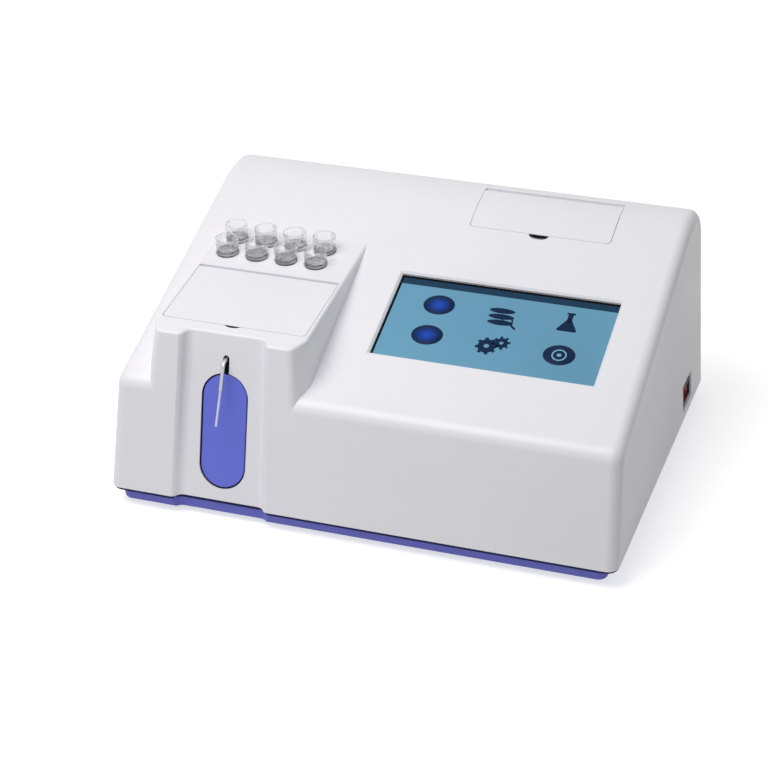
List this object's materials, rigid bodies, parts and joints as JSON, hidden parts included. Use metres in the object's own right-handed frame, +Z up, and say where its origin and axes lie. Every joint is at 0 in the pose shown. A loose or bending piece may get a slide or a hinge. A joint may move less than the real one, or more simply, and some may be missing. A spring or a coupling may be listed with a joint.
{
  "type": "semi-automatic chemistry analyser",
  "caption": "Wedge-shaped bench analyser with a lidded sample block, aspiration key and needle, sample cups, touch display, lidded strip printer and rear fan panel.",
  "frame": {"origin": "on the bench, under the middle of the housing", "axes": "+Z up, +X to the user's right as they face the front, -Y towards the user"},
  "size_m": [0.3586, 0.2612, 0.1577],
  "materials": {
    "case_white": "satin moulded white",
    "base_blue": "matt moulded blue-violet",
    "key_blue": "matt moulded blue-violet",
    "foot_rubber": "matt",
    "screw_steel": "zinc plated",
    "panel_grey": "light grey powder coat",
    "pin_steel": "ground",
    "bay_grey": "matt moulded light grey",
    "switch_black": "matt black",
    "needle_steel": "polished tube",
    "tube_clear": "clear soft tube",
    "block_aluminium": "anodised",
    "cell_quartz": "polished quartz",
    "board_green": "solder mask",
    "pump_grey": "matt dark grey",
    "rotor_white": "satin white",
    "roller_steel": "ground",
    "motor_steel": "plated",
    "bench_aluminium": "cast",
    "lamp_aluminium": "black anodised",
    "lamp_glass": "clear bulb",
    "lens_glass": "coated",
    "wheel_black": "black anodised",
    "filter_glass": "interference filter",
    "screen_glass": "touch glass over a lit display",
    "lcd_frame": "pressed tin",
    "bracket_steel": "zinc plated",
    "supply_steel": "zinc plated",
    "paper_white": "thermal paper",
    "head_ceramic": "glazed ceramic",
    "platen_rubber": "matt",
    "gear_white": "acetal",
    "rocker_red": "gloss red",
    "inlet_black": "matt black",
    "blade_brass": "plated",
    "fan_black": "matt black",
    "guard_wire": "bright",
    "port_metal": "tin plated",
    "cup_clear": "clear moulded"
  },
  "bodies": {
    "housing": {"base_tray": "base_blue", "rubber_feet": "foot_rubber", "case_screws": "screw_steel", "upper_case": "case_white", "rear_panel": "panel_grey", "lid_hinge_pins": "pin_steel", "sample_bay": "bay_grey", "key_microswitch": "switch_black", "aspiration_needle": "needle_steel", "needle_tip_tube": "tube_clear", "sample_line": "tube_clear", "flow_cell_block": "block_aluminium", "flow_cell": "cell_quartz", "detector_board": "board_green", "pump_housing": "pump_grey", "pump_tube": "tube_clear", "pump_motor": "motor_steel", "waste_line": "tube_clear", "waste_spigot": "switch_black", "optical_bench": "bench_aluminium", "lamp_housing": "lamp_aluminium", "halogen_lamp": "lamp_glass", "condenser_lens": "lens_glass", "wheel_motor": "motor_steel", "touch_glass": "screen_glass", "lcd_module": "lcd_frame", "display_bracket": "bracket_steel", "main_board": "board_green", "power_supply": "supply_steel", "printer_bay": "bay_grey", "print_head": "head_ceramic", "printer_motor": "motor_steel", "power_switch": "switch_black", "mains_inlet": "inlet_black", "inlet_blades": "blade_brass", "fan_frame": "fan_black", "fan_guard": "guard_wire", "serial_port": "port_metal", "usb_port": "port_metal"},
    "sample_lid": {"sample_lid": "case_white"},
    "printer_lid": {"printer_lid": "case_white"},
    "aspirate_key": {"aspirate_key": "key_blue"},
    "power_rocker": {"power_rocker": "rocker_red"},
    "fan_rotor": {"fan_rotor": "fan_black"},
    "pump_rotor": {"pump_rotor": "rotor_white", "pump_rollers": "roller_steel"},
    "filter_wheel": {"filter_wheel": "wheel_black", "filter_glasses": "filter_glass"},
    "paper_roll": {"paper_roll": "paper_white"},
    "platen_roller": {"platen_roller": "platen_rubber"},
    "printer_pinion": {"printer_pinion": "gear_white"},
    "fuse_drawer": {"fuse_drawer": "inlet_black"},
    "sample_cup_1": {"sample_cup_1": "cup_clear"},
    "sample_cup_2": {"sample_cup_2": "cup_clear"},
    "sample_cup_3": {"sample_cup_3": "cup_clear"},
    "sample_cup_4": {"sample_cup_4": "cup_clear"},
    "sample_cup_5": {"sample_cup_5": "cup_clear"},
    "sample_cup_6": {"sample_cup_6": "cup_clear"},
    "sample_cup_7": {"sample_cup_7": "cup_clear"},
    "sample_cup_8": {"sample_cup_8": "cup_clear"}
  },
  "joints": [
    {"name": "sample_lid_hinge", "type": "hinge", "parent": "housing", "child": "sample_lid", "pos_m": [-0.09825, -0.02152, 0.13196], "axis": [-1, 0, 0], "range_deg": [0, 88]},
    {"name": "printer_lid_hinge", "type": "hinge", "parent": "housing", "child": "printer_lid", "pos_m": [0.0717, 0.10295, 0.1537], "axis": [-1, 0, 0], "range_deg": [0, 85]},
    {"name": "aspirate_key_press", "type": "slide", "parent": "housing", "child": "aspirate_key", "axis": [0, 0.9671, -0.2545], "range_m": [0, 0.0025], "stiffness_N_per_m": 600},
    {"name": "power_rocker_tip", "type": "hinge", "parent": "housing", "child": "power_rocker", "pos_m": [0.17125, 0.07735, 0.03168], "axis": [0.0445, 0, -0.999], "range_deg": [0, 16]},
    {"name": "fan_spin", "type": "hinge", "parent": "housing", "child": "fan_rotor", "pos_m": [0.014, 0.10965, 0.073], "axis": [0, 1, 0], "continuous": true},
    {"name": "pump_spin", "type": "hinge", "parent": "housing", "child": "pump_rotor", "pos_m": [-0.123, -0.05165, 0.071], "axis": [0, 0, 1], "continuous": true},
    {"name": "filter_wheel_spin", "type": "hinge", "parent": "housing", "child": "filter_wheel", "pos_m": [-0.033, -0.02765, 0.075], "axis": [1, 0, 0], "continuous": true},
    {"name": "paper_roll_spin", "type": "hinge", "parent": "housing", "child": "paper_roll", "pos_m": [0.0717, 0.08235, 0.12], "axis": [1, 0, 0], "continuous": true},
    {"name": "platen_spin", "type": "hinge", "parent": "housing", "child": "platen_roller", "pos_m": [0.0717, 0.07335, 0.141], "axis": [1, 0, 0], "continuous": true},
    {"name": "pinion_spin", "type": "hinge", "parent": "housing", "child": "printer_pinion", "pos_m": [0.1047, 0.07894, 0.13541], "axis": [1, 0, 0], "continuous": true},
    {"name": "fuse_drawer_pull", "type": "slide", "parent": "housing", "child": "fuse_drawer", "axis": [0, 1, 0], "range_m": [0, 0.016]},
    {"name": "sample_cup_1_lift", "type": "slide", "parent": "housing", "child": "sample_cup_1", "axis": [0, 0, 1], "range_m": [0, 0.03]},
    {"name": "sample_cup_2_lift", "type": "slide", "parent": "housing", "child": "sample_cup_2", "axis": [0, 0, 1], "range_m": [0, 0.03]},
    {"name": "sample_cup_3_lift", "type": "slide", "parent": "housing", "child": "sample_cup_3", "axis": [0, 0, 1], "range_m": [0, 0.03]},
    {"name": "sample_cup_4_lift", "type": "slide", "parent": "housing", "child": "sample_cup_4", "axis": [0, 0, 1], "range_m": [0, 0.03]},
    {"name": "sample_cup_5_lift", "type": "slide", "parent": "housing", "child": "sample_cup_5", "axis": [0, 0, 1], "range_m": [0, 0.03]},
    {"name": "sample_cup_6_lift", "type": "slide", "parent": "housing", "child": "sample_cup_6", "axis": [0, 0, 1], "range_m": [0, 0.03]},
    {"name": "sample_cup_7_lift", "type": "slide", "parent": "housing", "child": "sample_cup_7", "axis": [0, 0, 1], "range_m": [0, 0.03]},
    {"name": "sample_cup_8_lift", "type": "slide", "parent": "housing", "child": "sample_cup_8", "axis": [0, 0, 1], "range_m": [0, 0.03]}
  ],
  "couplings": [
    {"joint": "pinion_spin", "follows": "platen_spin", "ratio": -1.6}
  ]
}
